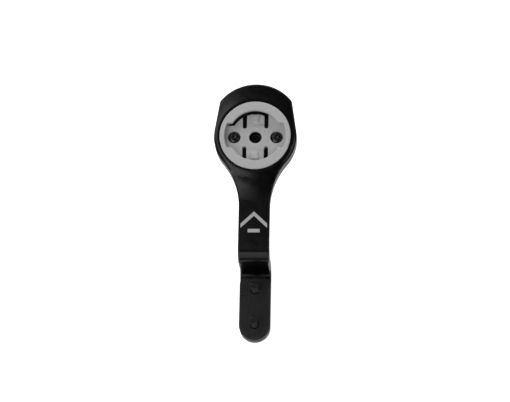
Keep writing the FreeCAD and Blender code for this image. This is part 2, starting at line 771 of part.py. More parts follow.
def is_notch_corner(edge):
    """Is this an upright edge where a notch's side meets the mouth?"""
    box = edge.BoundBox
    upright = box.ZLength > 1.0 and box.XLength < ROUNDING and box.YLength < ROUNDING
    point = middle_of(edge)
    on_mouth = abs(math.hypot(point.x, point.y) - SIZE["mouth_radius"]) < SAME
    return upright and on_mouth and abs(abs(point.y) - SIZE["notch_half"]) < SAME


def is_lip_edge(edge):
    """Is this edge round the mouth, in the plane of the ring's top?"""
    box = edge.BoundBox
    level = abs(box.ZMin) < ROUNDING and abs(box.ZMax) < ROUNDING
    point = middle_of(edge)
    return level and math.hypot(point.x, point.y) < SIZE["notch_radius"] + 0.5


def tongue_outline(body):
    """Plan view of the front tongue, from its root to its round tip."""
    s = SIZE
    half = s["slot_offset"] - s["slot_radius"]
    root = s["slot_root"] + s["tongue_gap"]
    tip = s["floor_radius"]
    corner = s["tongue_corner"]
    corner_x = half - corner
    corner_y = math.sqrt((tip - corner) ** 2 - corner_x**2)
    scale = tip / (tip - corner)
    sketch = new_sketch(body, "TongueOutline", "XY_Plane", "-floor_drop")
    path = Outline(sketch, -half, root)
    base = path.line(half, root)
    path.line(half, corner_y)
    right = path.arc(corner_x * scale, corner_y * scale, corner_x, corner_y, 1)
    end = path.arc(-corner_x * scale, corner_y * scale, 0, 0, 1)
    left = path.arc(-half, corner_y, -corner_x, corner_y, 1)
    path.line(-half, root, smooth=True)
    path.close()
    pin_to_origin(sketch, (end, MIDDLE))
    bind(sketch, "Radius", end, size="floor_radius")
    bind(sketch, "Radius", right, size="tongue_corner")
    bind(sketch, "Radius", left, size="tongue_corner")
    bind(sketch, "DistanceX", base, START, *ORIGIN_POINT, size="slot_offset - slot_radius")
    bind(sketch, "DistanceX", *ORIGIN_POINT, base, END, size="slot_offset - slot_radius")
    bind(sketch, "DistanceY", *ORIGIN_POINT, base, START, size="slot_root + tongue_gap")
    return sketch


def ridge_outline(body, name, level, inset):
    """A radial ridge's outline at one level, drawn in by the bevel at the upper one."""
    s = SIZE
    start = s["ridge_start"] + inset
    end = s["ridge_end"] - inset
    inner = s["ridge_inner_half"] - inset
    outer = s["ridge_outer_half"] - inset
    bevel = " - ridge_bevel" if inset else ""
    sketch = new_sketch(body, name, "XY_Plane", level)
    path = Outline(sketch, -inner, start)
    near = path.line(inner, start)
    path.line(outer, end)
    far = path.line(-outer, end)
    path.line(-inner, start)
    path.close()
    for line, left, right, half in ((near, START, END, "inner"), (far, END, START, "outer")):
        width = f"ridge_{half}_half{bevel}"
        bind(sketch, "DistanceX", line, left, *ORIGIN_POINT, size=width)
        bind(sketch, "DistanceX", *ORIGIN_POINT, line, right, size=width)
    near_size = "ridge_start + ridge_bevel" if inset else "ridge_start"
    far_size = "ridge_end - ridge_bevel" if inset else "ridge_end"
    bind(sketch, "DistanceY", *ORIGIN_POINT, near, START, size=near_size)
    bind(sketch, "DistanceY", *ORIGIN_POINT, far, START, size=far_size)
    return sketch


def make_tongue(name, turn):
    """A sprung tongue with its detent ridge, turned about the insert's axis."""
    body = new_body(name, ("0", "reach", "rise"))
    body.Placement.Rotation = FreeCAD.Rotation(Vector(0, 0, 1), turn)
    pad(body, tongue_outline(body), "Plate", "tongue_thick", Reversed=True)
    base = ridge_outline(body, "RidgeBase", "-floor_drop", 0.0)
    top = ridge_outline(body, "RidgeTop", "ridge_height - floor_drop", SIZE["ridge_bevel"])
    add_feature(body, "AdditiveLoft", "DetentRidge", Profile=base, Sections=[top], Ruled=True)
    doc.recompute()
    return body


# Fasteners


def hexagon(sketch, key):
    """A regular hexagon about the origin, with one corner on the X axis."""
    corner = SIZE[key] / math.sqrt(3)
    turns = [math.radians(60 * index) for index in range(6)]
    points = [(corner * math.cos(turn), corner * math.sin(turn)) for turn in turns]
    circle = add_circle(sketch, corner, f"{key} / sqrt(3)")
    sketch.toggleConstruction(circle)
    path = Outline(sketch, *points[0])
    sides = [path.line(*point, free=True) for point in (*points[1:], points[0])]
    path.close()
    for side in sides:
        pin_to_axis(sketch, (side, START), circle)
    for side in sides[1:]:
        sketch.addConstraint(Sketcher.Constraint("Equal", sides[0], side))
    pin_to_axis(sketch, (sides[0], START), HORIZONTAL_AXIS)


NECK_LENGTH = {
    "screw": "(insert_depth - screw_sink_depth)",
    "bolt": "(foot_thick - bolt_sink_depth + washer_thick + spacer_thick + pad_thick)",
}


def neck_length(kind):
    """A plain neck as long as what the screw clamps."""
    s = SIZE
    if kind == "screw":
        return s["insert_depth"] - s["screw_sink_depth"]
    clamped = s["foot_thick"] - s["bolt_sink_depth"] + s["washer_thick"]
    return clamped + s["spacer_thick"] + s["pad_thick"]


def screw_section(body, kind):
    """Half section of a button head screw, with the face under its head as zero."""
    s = SIZE
    neck = s[f"{kind}_neck_radius"]
    reach = neck_length(kind)
    head = s[f"{kind}_head_radius"]
    height = s[f"{kind}_head_height"]
    shank = s[f"{kind}_radius"]
    length = s[f"{kind}_length"]
    flat = HEAD_FLAT * head
    band = HEAD_BAND * height
    tip = TIP_CHAMFER * shank
    across = head - flat
    up = height - band
    bulge = (across**2 + up**2) / (2 * up)

    sketch = new_sketch(body, "Section", "XZ_Plane")
    path = Outline(sketch, 0, height)
    top = path.line(flat, height)
    path.arc(head, band, flat, height - bulge, -1)
    edge = path.line(head, 0)
    under = path.line(neck, 0)
    neck_side = path.line(neck, -reach)
    step = path.line(shank, -reach)
    side = path.line(shank, tip - length)
    point = path.line(shank - tip, -length)
    path.line(0, -length)
    path.line(0, height)
    path.close()
    pin_to_axis(sketch, (top, START), VERTICAL_AXIS)
    bind(sketch, "DistanceY", *ORIGIN_POINT, top, START, size=f"{kind}_head_height")
    bind(sketch, "DistanceX", *ORIGIN_POINT, top, END, size=f"{HEAD_FLAT} * {kind}_head_radius")
    bind(sketch, "DistanceX", *ORIGIN_POINT, edge, START, size=f"{kind}_head_radius")
    bind(sketch, "DistanceY", *ORIGIN_POINT, edge, START, size=f"{HEAD_BAND} * {kind}_head_height")
    pin_to_axis(sketch, (under, START), HORIZONTAL_AXIS)
    bind(sketch, "DistanceX", *ORIGIN_POINT, neck_side, START, size=f"{kind}_neck_radius")
    bind(sketch, "DistanceY", step, START, *ORIGIN_POINT, size=NECK_LENGTH[kind])
    bind(sketch, "DistanceX", *ORIGIN_POINT, side, END, size=f"{kind}_radius")
    bind(sketch, "DistanceY", point, END, side, END, size=f"{TIP_CHAMFER} * {kind}_radius")
    bind(sketch, "DistanceX", point, END, side, END, size=f"{TIP_CHAMFER} * {kind}_radius")
    bind(sketch, "DistanceY", point, END, *ORIGIN_POINT, size=f"{kind}_length")
    return sketch


def drill_point(body, kind):
    """Half section of the cone that the pilot drill leaves under the key socket."""
    s = SIZE
    radius = s[f"{kind}_pilot_radius"]
    level = s[f"{kind}_head_height"] - s[f"{kind}_key_depth"]
    depth = radius * math.tan(math.radians(s["drill_slope"]))
    sketch = new_sketch(body, "DrillPoint", "XZ_Plane")
    path = Outline(sketch, 0, level)
    floor = path.line(radius, level)
    slope = path.line(0, level - depth)
    path.line(0, level)
    path.close()
    pin_to_axis(sketch, (floor, START), VERTICAL_AXIS)
    bind(sketch, "DistanceX", *ORIGIN_POINT, floor, END, size=f"{kind}_pilot_radius")
    height = f"{kind}_head_height - {kind}_key_depth"
    bind(sketch, "DistanceY", *ORIGIN_POINT, floor, START, size=height)
    fall = f"{kind}_pilot_radius * tan(drill_slope * 1 deg)"
    bind(sketch, "DistanceY", slope, END, slope, START, size=fall)
    return sketch


def make_screw(name, kind, place, upside_down=False):
    body = new_body(name, place)
    if upside_down:
        body.Placement.Rotation = FreeCAD.Rotation(Vector(1, 0, 0), 180)
    revolve(body, screw_section(body, kind), "Turned")
    key = new_sketch(body, "KeyOutline", "XY_Plane", f"{kind}_head_height")
    hexagon(key, f"{kind}_key")
    pocket(body, key, "KeySocket", f"{kind}_key_depth")
    revolve(body, drill_point(body, kind), "KeyPoint", "Groove")
    return body


def make_washer(name, place):
    body = new_body(name, place)
    sketch = new_sketch(body, "WasherCircles")
    add_circle(sketch, SIZE["washer_radius"], "washer_radius")
    add_circle(sketch, SIZE["washer_hole_radius"], "washer_hole_radius")
    washer = pad(body, sketch, "Washer", "washer_thick")
    edges = edges_where(washer.Shape, lambda edge: is_circle_of(edge, SIZE["washer_radius"], 0))
    dress(body, "Fillet", "StampedEdge", washer, edges, f"{STAMPED_EDGE} * washer_thick")
    return body


# The seat under the handlebar


def make_plate(name, inset, thick, bottom):
    """A plate with the foot's outline, drawn in by an inset, with the two bolt holes."""
    s = SIZE
    half = s["blade_width"] / 2 - inset
    front = s["spacer_front"] - inset
    rear = -(s["foot_overhang"] - s["blade_width"] / 2)
    corner = s["spacer_corner"]
    less = " - pad_inset" if inset else ""

    body = new_body(name, ("0", "0", bottom))
    sketch = new_sketch(body, "PlateOutline")
    path = Outline(sketch, -half + corner, front)
    left_corner = path.arc(-half, front - corner, -half + corner, front - corner, 1, smooth=False)
    left = path.line(-half, rear, smooth=True)
    end = path.arc(half, rear, 0, rear, 1)
    right = path.line(half, front - corner, smooth=True)
    right_corner = path.arc(half - corner, front, half - corner, front - corner, 1)
    top = path.line(-half + corner, front, smooth=True)
    path.close(smooth=True)
    bind(sketch, "Radius", left_corner, size="spacer_corner")
    bind(sketch, "Radius", right_corner, size="spacer_corner")
    bind(sketch, "DistanceX", left, END, *ORIGIN_POINT, size="blade_width / 2" + less)
    bind(sketch, "DistanceX", *ORIGIN_POINT, right, START, size="blade_width / 2" + less)
    bind(sketch, "DistanceY", end, MIDDLE, *ORIGIN_POINT, size="foot_overhang - blade_width / 2")
    bind(sketch, "DistanceY", *ORIGIN_POINT, top, START, size="spacer_front" + less)
    offset = s["bolt_spacing"] / 2
    add_circle_pair(sketch, s["bolt_hole_radius"], "bolt_hole_radius", offset, "bolt_spacing / 2", "Y")
    pad(body, sketch, "Plate", thick)
    return body


def make_all():
    make_sheet()
    pieces = [
        make_arm(),
        make_insert(),
        make_tongue("detent_tongue_front", 0),
        make_tongue("detent_tongue_rear", 180),
        make_plate("foot_spacer", 0.0, "spacer_thick", "-pad_thick - spacer_thick"),
        make_plate("seat_pad", SIZE["pad_inset"], "pad_thick", "-pad_thick"),
    ]
    for side, x in (("left", "-screw_offset"), ("right", "screw_offset")):
        seat = (x, "reach", "rise - screw_sink_depth")
        pieces.append(make_screw(f"insert_screw_{side}", "screw", seat))
    washer_top = "-pad_thick - spacer_thick - foot_thick + bolt_sink_depth"
    for side, y in (("front", "bolt_spacing / 2"), ("rear", "-bolt_spacing / 2")):
        under = ("0", y, f"{washer_top} - washer_thick")
        pieces.append(make_washer(f"foot_washer_{side}", under))
        pieces.append(make_screw(f"foot_bolt_{side}", "bolt", under, upside_down=True))
    return pieces


def check_document(pieces):
    """A recompute can leave an object failed without raising, so look at them all."""
    doc.recompute()
    for item in doc.Objects:
        if "Invalid" in item.State or "Error" in item.State:
            raise RuntimeError(f"{item.Name} in {item.getParent()} is {item.State}")
    for piece in pieces:
        if piece.Shape.isNull() or not piece.Shape.isValid():
            raise RuntimeError(f"{piece.Label} has no valid shape")
        if len(piece.Shape.Solids) != 1:
            raise RuntimeError(f"{piece.Label} has {len(piece.Shape.Solids)} solids")


def write_steps(pieces):
    os.makedirs("parts", exist_ok=True)
    for piece in pieces:
        piece.Shape.exportStep(f"parts/{piece.Label}.step")
        box = piece.Shape.BoundBox
        low = f"{box.XMin:.2f} {box.YMin:.2f} {box.ZMin:.2f}"
        high = f"{box.XMax:.2f} {box.YMax:.2f} {box.ZMax:.2f}"
        print(f"{piece.Label}: {low} to {high}, {piece.Shape.Volume:.1f} cubic mm")


all_pieces = make_all()
check_document(all_pieces)
write_steps(all_pieces)
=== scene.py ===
"""Looks of an out-front bicycle computer mount, laid out as an add-on and run as a script."""

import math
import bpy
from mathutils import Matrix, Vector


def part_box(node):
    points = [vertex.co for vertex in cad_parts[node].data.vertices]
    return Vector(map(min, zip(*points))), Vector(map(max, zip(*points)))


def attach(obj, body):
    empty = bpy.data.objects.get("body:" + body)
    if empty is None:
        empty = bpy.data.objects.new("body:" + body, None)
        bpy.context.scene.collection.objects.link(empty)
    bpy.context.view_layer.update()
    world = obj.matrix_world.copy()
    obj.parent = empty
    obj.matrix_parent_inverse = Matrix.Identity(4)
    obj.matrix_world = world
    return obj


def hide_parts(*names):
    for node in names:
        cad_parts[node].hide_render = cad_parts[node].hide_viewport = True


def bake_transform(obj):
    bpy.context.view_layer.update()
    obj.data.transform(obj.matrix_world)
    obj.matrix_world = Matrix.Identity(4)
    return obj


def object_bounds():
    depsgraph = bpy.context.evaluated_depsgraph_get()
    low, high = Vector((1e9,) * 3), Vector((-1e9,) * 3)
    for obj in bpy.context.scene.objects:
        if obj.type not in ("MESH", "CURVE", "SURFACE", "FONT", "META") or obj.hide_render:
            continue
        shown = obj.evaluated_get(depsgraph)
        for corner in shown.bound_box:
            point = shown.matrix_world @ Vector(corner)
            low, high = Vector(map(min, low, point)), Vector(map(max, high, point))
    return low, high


bl_info = {
    "name": "Bicycle Computer Mount",
    "version": (1, 0, 0),
    "blender": (4, 5, 0),
    "location": "3D View > Sidebar > Mount",
    "description": "Finishes an out-front bicycle computer mount around its packed frame",
    "category": "Object",
}

import bmesh
import bpy
from mathutils import Euler, Matrix, Vector

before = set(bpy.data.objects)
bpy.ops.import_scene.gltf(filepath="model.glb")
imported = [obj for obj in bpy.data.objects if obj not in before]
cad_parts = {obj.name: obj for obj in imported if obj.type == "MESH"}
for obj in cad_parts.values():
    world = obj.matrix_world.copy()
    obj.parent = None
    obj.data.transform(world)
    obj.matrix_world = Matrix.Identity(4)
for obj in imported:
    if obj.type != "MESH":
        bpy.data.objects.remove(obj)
CAD_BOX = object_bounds()

MM = 0.001

# Points closer than this are one point.
MERGE = 1e-6
# In degrees: edges sharper than CREASE are rounded, and faces within FLAT of a plane are joined.
CREASE = 35
FLAT = 0.1


def node_middle(node):
    """The middle of a CAD node's box."""
    low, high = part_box(node)
    return (low + high) / 2


INSERT_LOW, INSERT_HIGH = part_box("twist_lock_insert")
INSERT_MIDDLE = node_middle("twist_lock_insert")
PAD_LOW, PAD_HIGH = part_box("seat_pad")
SEAT = PAD_HIGH.z


def length(name, default, description):
    """A size that a user may change, given in millimetres."""
    return bpy.props.FloatProperty(
        name=name,
        description=description,
        default=default * MM,
        min=0,
        precision=5,
        unit="LENGTH",
        subtype="DISTANCE",
    )


def angle(name, default, description):
    """An angle that a user may change, given in degrees."""
    return bpy.props.FloatProperty(
        name=name,
        description=description,
        default=math.radians(default),
        unit="ROTATION",
        subtype="ANGLE",
    )


def share(name, default, description):
    """A share from 0 to 1."""
    return bpy.props.FloatProperty(
        name=name,
        description=description,
        default=default,
        min=0,
        max=1,
        subtype="FACTOR",
    )


def grey(name, value, description):
    """A colour, given as a neutral grey."""
    return bpy.props.FloatVectorProperty(
        name=name,
        description=description,
        default=(value, value, value),
        size=3,
        min=0,
        max=1,
        subtype="COLOR",
    )


def power(name, default, description):
    """The power of a lamp in watts."""
    return bpy.props.FloatProperty(
        name=name, description=description, default=default, min=0, subtype="POWER"
    )


class MountSizes(bpy.types.PropertyGroup):
    """Sizes of the fine shapes."""

    arm_edge: length("Arm edge", 0.12, "Width of the edges broken on the arm")
    insert_edge: length("Insert edge", 0.1, "Width of the rounded edges of the insert")
    small_edge: length("Small edge", 0.06, "Width of the broken edges of the small pieces")
    bolt_pitch: length("Bolt pitch", 0.7, "Pitch of the foot bolts' thread")
    bolt_depth: length("Bolt depth", 0.38, "Depth of the foot bolts' thread")
    screw_pitch: length("Screw pitch", 0.5, "Pitch of the insert screws' thread")
    screw_depth: length("Screw depth", 0.27, "Depth of the insert screws' thread")
    thread_lead: length("Thread lead", 0.45, "Height of the cone at the end of a thread")
    tick_inner: length("Tick start", 5.0, "Distance from the hub's axis to each tick")
    tick_outer: length("Tick end", 6.2, "Distance from the hub's axis to a tick's end")
    tick_width: length("Tick width", 0.25, "Width of each tick")
    tick_height: length("Tick height", 0.07, "How far a tick stands up")
    pip_spacing: length("Pip spacing", 1.3, "Distance between the pad's pips")
    pip_radius: length("Pip radius", 0.42, "Radius of each pip")
    pip_height: length("Pip height", 0.22, "How far a pip stands up")
    mark_width: length("Mark width", 13.4, "Width of the printed mark")
    mark_thick: length("Ink thickness", 0.02, "Thickness of the printed mark")


class MountFinish(bpy.types.PropertyGroup):
    """Colours and gloss."""

    anodise: grey("Anodised", 0.0015, "Colour of the anodised arm")
    anodise_rough: share("Anodised roughness", 0.2, "Roughness of the anodised arm")
    moulding: grey("Moulding", 0.47, "Colour of the moulded insert")
    moulding_rough: share("Moulding roughness", 0.5, "Roughness of the moulded insert")
    steel: grey("Blackened steel", 0.055, "Colour of the screws and bolts")
    steel_rough: share("Steel roughness", 0.26, "Roughness of the screws and bolts")
    nylon: grey("Nylon", 0.012, "Colour of the spacer")
    rubber: grey("Rubber", 0.01, "Colour of the pad")
    stainless: grey("Stainless", 0.55, "Colour of the washers")
    ink: grey("Ink", 0.42, "Colour of the printed mark")


class MountStage(bpy.types.PropertyGroup):
    """Floor, lamps and camera."""

    tilt: angle("Camera tilt", 17.4, "How far the camera leans back from straight down")
    lean: angle("Camera lean", 3.38, "How far the camera leans to the side")
    twist: angle("Camera twist", 1.06, "How far the camera is turned about its view")
    distance: length("Camera distance", 1200, "Distance from the mount to the camera")
    lens: bpy.props.FloatProperty(
        name="Focal length",
        description="Focal length in millimetres on a 36 mm sensor",
        default=167.4,
        min=1,
    )
    right: power("Right lamp", 0.7, "Soft box on the right")
    front: power("Front lamp", 4.5, "Low soft box ahead of the nose")
    front_left: power("Front left lamp", 0.7, "Soft box ahead and to the left")
    over_left: power("High left lamp", 0.8, "Soft box high on the left")
    rear_left: power("Rear left lamp", 2.0, "Soft box behind and to the left")
    rear: power("Rear lamp", 0.5, "Soft box behind the handlebar end")
    floor_glow: bpy.props.FloatProperty(
        name="Floor glow",
        description="Light that the floor gives off",
        default=0.9,
        min=0,
    )


# Meshes


def new_piece(name, mesh, material):
    """An object at the origin that holds a finished mesh."""
    piece = bpy.data.objects.new(name, mesh)
    bpy.context.scene.collection.objects.link(piece)
    mesh.materials.clear()
    mesh.materials.append(material)
    for face in mesh.polygons:
        face.material_index = 0
    return piece


def mesh_from(bm, name):
    """Turn an edit mesh into a mesh and free it."""
    mesh = bpy.data.meshes.new(name)
    bm.to_mesh(mesh)
    bm.free()
    return mesh


def merged(node):
    """A closed edit mesh of a CAD node, with its flat faces whole again."""
    bm = bmesh.new()
    bm.from_mesh(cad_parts[node].data)
    bmesh.ops.remove_doubles(bm, verts=bm.verts, dist=MERGE)
    bmesh.ops.dissolve_limit(
        bm, angle_limit=math.radians(FLAT), verts=bm.verts, edges=bm.edges
    )
    return bm


def evaluated(piece, name):
    """A plain mesh of an object with its modifiers in it."""
    graph = bpy.context.evaluated_depsgraph_get()
    mesh = bpy.data.meshes.new_from_object(piece.evaluated_get(graph))
    mesh.name = name
    return mesh


BEVEL_STEPS = 2
# The largest faces decide the shading at a shared corner.
AREA_WEIGHT = 100


def round_edges(mesh, width, name):
    """Round every sharp edge a little and shade the rest smoothly."""
    mesh.shade_smooth()
    holder = bpy.data.objects.new(name, mesh)
    bpy.context.scene.collection.objects.link(holder)
    bevel = holder.modifiers.new("Edges", "BEVEL")
    bevel.width = width
    bevel.segments = BEVEL_STEPS
    bevel.limit_method = "ANGLE"
    bevel.angle_limit = math.radians(CREASE)
    bevel.use_clamp_overlap = True
    weights = holder.modifiers.new("Normals", "WEIGHTED_NORMAL")
    weights.mode = "FACE_AREA"
    weights.weight = AREA_WEIGHT
    weights.keep_sharp = True
    finished = evaluated(holder, name)
    bpy.data.objects.remove(holder)
    return finished


def stand_in(node, name, body, material, width):
    """Replace a CAD node with a copy of it that has rounded edges."""
    mesh = round_edges(mesh_from(merged(node), name), width, name)
    piece = new_piece(name, mesh, material)
    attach(piece, body)
    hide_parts(node)


# Node trees


class Tree:
    """A Geometry Nodes tree with one named input for each size."""

    def __init__(self, name, sizes):
        self.tree = bpy.data.node_groups.new(name, "GeometryNodeTree")
        face = self.tree.interface
        self.inputs = {}
        for label, value in sizes.items():
            kind = "NodeSocketInt" if isinstance(value, int) else "NodeSocketFloat"
            socket = face.new_socket(name=label, in_out="INPUT", socket_type=kind)
            self.inputs[label] = (socket.identifier, value)
        face.new_socket(name="Geometry", in_out="OUTPUT", socket_type="NodeSocketGeometry")
        self.entry = self.tree.nodes.new("NodeGroupInput")
        self.exit = self.tree.nodes.new("NodeGroupOutput")

    def size(self, label):
        return self.entry.outputs[label]

    def plug(self, socket, value):
        """Link a socket, or set it to a plain value."""
        if isinstance(value, bpy.types.NodeSocket):
            self.tree.links.new(value, socket)
        else:
            socket.default_value = value

    def add(self, kind, settings=None, **sockets):
        """Add a node; sockets are named in lower case with low lines for spaces."""
        node = self.tree.nodes.new(kind)
        for setting, value in (settings or {}).items():
            setattr(node, setting, value)
        for label, value in sockets.items():
            wanted = label.replace("_", " ")
            found = [s for s in node.inputs if s.name.lower() == wanted and s.enabled]
            self.plug(found[0], value)
        return node

    def math(self, operation, *values):
        node = self.tree.nodes.new("ShaderNodeMath")
        node.operation = operation
        for socket, value in zip(node.inputs, values):
            self.plug(socket, value)
        return node.outputs[0]

    def vector(self, x, y, z):
        node = self.tree.nodes.new("ShaderNodeCombineXYZ")
        for socket, value in zip(node.inputs, (x, y, z)):
            self.plug(socket, value)
        return node.outputs[0]

    def position(self):
        """The three coordinates of each point."""
        place = self.tree.nodes.new("GeometryNodeInputPosition")
        split = self.tree.nodes.new("ShaderNodeSeparateXYZ")
        self.tree.links.new(place.outputs[0], split.inputs[0])
        return split.outputs

    def finish(self, geometry, material):
        """End the tree with real geometry that has its material."""
        real = self.add("GeometryNodeRealizeInstances", geometry=geometry)
        painted = self.add(
            "GeometryNodeSetMaterial", geometry=real.outputs[0], material=material
        )
        self.tree.links.new(painted.outputs[0], self.exit.inputs[0])

    def mesh(self, name):
        """Evaluate the tree into a plain mesh."""
        holder = bpy.data.objects.new(name, bpy.data.meshes.new(name))
        bpy.context.scene.collection.objects.link(holder)
        modifier = holder.modifiers.new(name, "NODES")
        modifier.node_group = self.tree
        for identifier, value in self.inputs.values():
            modifier[identifier] = value
        made = evaluated(holder, name)
        made.shade_smooth()
        made.set_sharp_from_angle(angle=math.radians(CREASE))
        bpy.data.objects.remove(holder)
        return made


THREAD_SIDES = 36
ROWS_PER_TURN = 10
# One row at each end is drawn in to the axis, which closes the thread.
END_ROWS = 2


def thread_mesh(name, reach, crest, pitch, depth, lead, material):
    """A closed right-hand thread that stands on the origin."""
    rows = round(reach / pitch * ROWS_PER_TURN) + END_ROWS
    t = Tree(
        name,
        {
            "Reach": reach,
            "Crest": crest,
            "Pitch": pitch,
            "Depth": depth,
            "Lead": lead,
            "Sides": THREAD_SIDES,
            "Rows": rows,
        },
    )
    grid = t.add(
        "GeometryNodeMeshGrid",
        size_x=1.0,
        size_y=1.0,
        vertices_x=t.math("ADD", t.size("Sides"), 1.0),
        vertices_y=t.math("ADD", t.size("Rows"), 1.0),
    )
    x, y, _ = t.position()
    turn = t.math("ADD", x, 0.5)
    row = t.math("ROUND", t.math("MULTIPLY", t.math("ADD", y, 0.5), t.size("Rows")))
    inner_rows = t.math("SUBTRACT", t.size("Rows"), END_ROWS)
    step = t.math("DIVIDE", t.math("SUBTRACT", row, 1.0), inner_rows)
    rise = t.math("MINIMUM", t.math("MAXIMUM", step, 0.0), 1.0)
    height = t.math("MULTIPLY", rise, t.size("Reach"))
    phase = t.math("SUBTRACT", t.math("DIVIDE", height, t.size("Pitch")), turn)
    valley = t.math("PINGPONG", phase, 0.5)
    cut = t.math("MULTIPLY", t.math("MULTIPLY", valley, 2.0), t.size("Depth"))
    thread = t.math("SUBTRACT", t.size("Crest"), cut)
    from_tip = t.math("SUBTRACT", t.size("Reach"), height)
    nearest = t.math("MINIMUM", from_tip, height)
    cone = t.math("SUBTRACT", t.math("ADD", t.size("Crest"), nearest), t.size("Lead"))
    radius = t.math("MINIMUM", thread, cone)
    not_first = t.math("GREATER_THAN", row, 0.5)
    not_last = t.math("LESS_THAN", row, t.math("SUBTRACT", t.size("Rows"), 0.5))
    wall = t.math("MULTIPLY", t.math("MULTIPLY", radius, not_first), not_last)
    around = t.math("MULTIPLY", turn, math.tau)
    place = t.vector(
        t.math("MULTIPLY", wall, t.math("COSINE", around)),
        t.math("MULTIPLY", wall, t.math("SINE", around)),
        height,
    )
    wound = t.add("GeometryNodeSetPosition", geometry=grid.outputs[0], position=place)
    closed = t.add(
        "GeometryNodeMergeByDistance", geometry=wound.outputs[0], distance=MERGE
    )
    smooth = t.add("GeometryNodeSetShadeSmooth", geometry=closed.outputs[0])
    t.finish(smooth.outputs[0], material)
    return t.mesh(name)


def tick_mesh(name, sizes, count, material):
    """A ring of low bars that point at the ring's axis."""
    t = Tree(
        name,
        {
            "Count": count,
            "Start": sizes.tick_inner,
            "End": sizes.tick_outer,
            "Width": sizes.tick_width,
            "Height": sizes.tick_height * 2,
        },
    )
    middle = t.math("DIVIDE", t.math("ADD", t.size("Start"), t.size("End")), 2.0)
    ring = t.add("GeometryNodeMeshCircle", vertices=t.size("Count"), radius=middle)
    bar = t.add(
        "GeometryNodeMeshCube",
        size=t.vector(
            t.math("SUBTRACT", t.size("End"), t.size("Start")),
            t.size("Width"),
            t.size("Height"),
        ),
    )
    x, y, _ = t.position()
    bars = t.add(
        "GeometryNodeInstanceOnPoints",
        points=ring.outputs[0],
        instance=bar.outputs[0],
        rotation=t.vector(0.0, 0.0, t.math("ARCTAN2", y, x)),
    )
    t.finish(bars.outputs[0], material)
    return t.mesh(name)


PIP_SIDES = 12
PIP_TAPER = 0.7


def pip_mesh(name, sizes, edge, hole, bolt_offset, material):
    """Low round pips on a square grid, kept clear of the pad's edge and holes."""
    wide = PAD_HIGH.x - PAD_LOW.x
    long = PAD_HIGH.y - PAD_LOW.y
    half = wide / 2
    spacing = sizes.pip_spacing
    across = round((wide - 2 * edge) / spacing)
    along = round((long - 2 * edge) / spacing)
    t = Tree(
        name,
        {
            "Spacing": spacing,
            "Across": across,
            "Along": along,
            "Pip Radius": sizes.pip_radius,
            "Pip Height": sizes.pip_height,
            "Half Width": half,
            "Edge": edge,
            "Hole": hole,
        },
    )
    grid = t.add(
        "GeometryNodeMeshGrid",
        size_x=t.math("MULTIPLY", t.size("Spacing"), t.size("Across")),
        size_y=t.math("MULTIPLY", t.size("Spacing"), t.size("Along")),
        vertices_x=t.math("ADD", t.size("Across"), 1.0),
        vertices_y=t.math("ADD", t.size("Along"), 1.0),
    )
    middle = node_middle("seat_pad")
    placed = t.add(
        "GeometryNodeTransform",
        geometry=grid.outputs[0],
        translation=(middle.x, middle.y, PAD_HIGH.z - sizes.pip_height),
    )
    x, y, _ = t.position()
    round_end = PAD_LOW.y + half
    behind = t.math("MINIMUM", t.math("SUBTRACT", y, round_end), 0.0)
    out = t.math("SQRT", t.math("ADD", t.math("POWER", x, 2.0), t.math("POWER", behind, 2.0)))
    limit = t.math("SUBTRACT", t.size("Half Width"), t.size("Edge"))
    outside = t.math("GREATER_THAN", out, t.math("ADD", limit, MERGE))
    to_bolt = t.math("SUBTRACT", t.math("ABSOLUTE", y), bolt_offset)
    near = t.math("SQRT", t.math("ADD", t.math("POWER", x, 2.0), t.math("POWER", to_bolt, 2.0)))
    in_hole = t.math("LESS_THAN", near, t.size("Hole"))
    kept = t.add(
        "GeometryNodeDeleteGeometry",
        {"domain": "POINT"},
        geometry=placed.outputs[0],
        selection=t.math("MAXIMUM", outside, in_hole),
    )
    dome = t.add(
        "GeometryNodeMeshCone",
        {"fill_type": "TRIANGLE_FAN"},
        vertices=PIP_SIDES,
        radius_top=t.math("MULTIPLY", t.size("Pip Radius"), PIP_TAPER),
        radius_bottom=t.size("Pip Radius"),
        depth=t.size("Pip Height"),
    )
    pips = t.add(
        "GeometryNodeInstanceOnPoints", points=kept.outputs[0], instance=dome.outputs[0]
    )
    t.finish(pips.outputs[0], material)
    return t.mesh(name)


# Materials


# Noise seldom goes outside these.
NOISE_LOW = 0.3
NOISE_HIGH = 0.7


